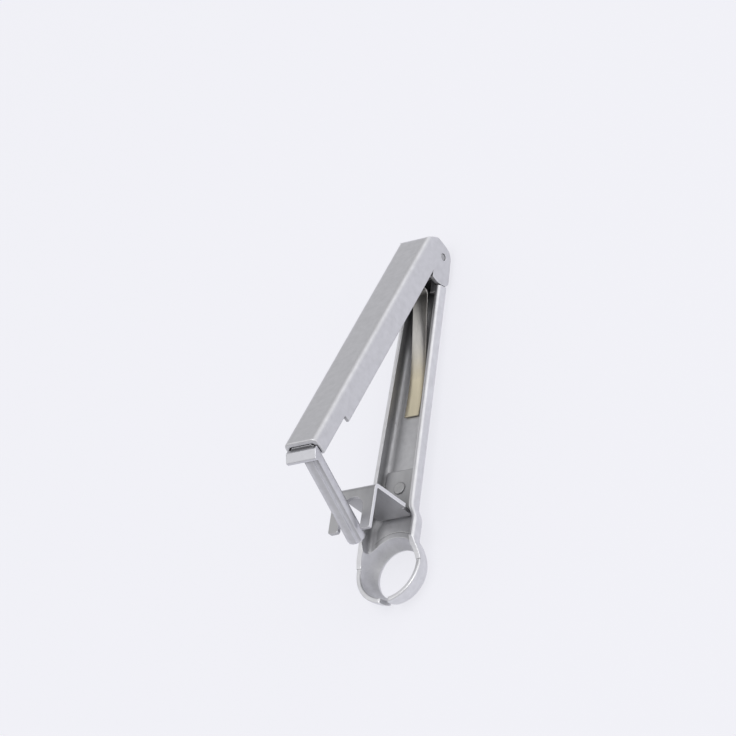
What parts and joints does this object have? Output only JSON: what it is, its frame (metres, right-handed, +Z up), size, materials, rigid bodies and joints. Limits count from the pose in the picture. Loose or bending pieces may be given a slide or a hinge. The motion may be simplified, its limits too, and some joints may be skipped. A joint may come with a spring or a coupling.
{
  "type": "cherry pitter",
  "caption": "Hand-squeezed cherry pitter: two hinged cast levers, a slotted ring that holds the fruit, and a ribbed plunger that comes down through a forked stripper plate.",
  "frame": {"origin": "middle of the resting tool's footprint, on the surface that it stands on", "axes": "+X runs along the lower lever from the hinge to the ring, +Y to the left across the tool, +Z up"},
  "size_m": [0.1522, 0.03, 0.0698],
  "materials": {
    "cast_metal": "satin tumbled die casting",
    "cast_plunger": "satin die casting",
    "pressed_sheet": "satin rolled sheet",
    "spring_steel": "bright rolled strip",
    "pin_steel": "plain drawn wire"
  },
  "bodies": {
    "lower": {"lower_lever": "cast_metal", "pivot_pin": "pin_steel", "stripper": "pressed_sheet", "stripper_rivet": "pin_steel", "spring": "spring_steel"},
    "upper": {"upper_lever": "cast_metal", "plunger": "cast_plunger", "plunger_rivet": "pin_steel"}
  },
  "joints": [
    {"name": "squeeze_hinge", "type": "hinge", "parent": "lower", "child": "upper", "pos_m": [-0.06931, 0, 0.00735], "axis": [0, 1, 0], "range_deg": [0, 13.2], "stiffness_Nm_per_rad": 2, "springref_deg": -4.58, "deforming": ["spring"]}
  ]
}
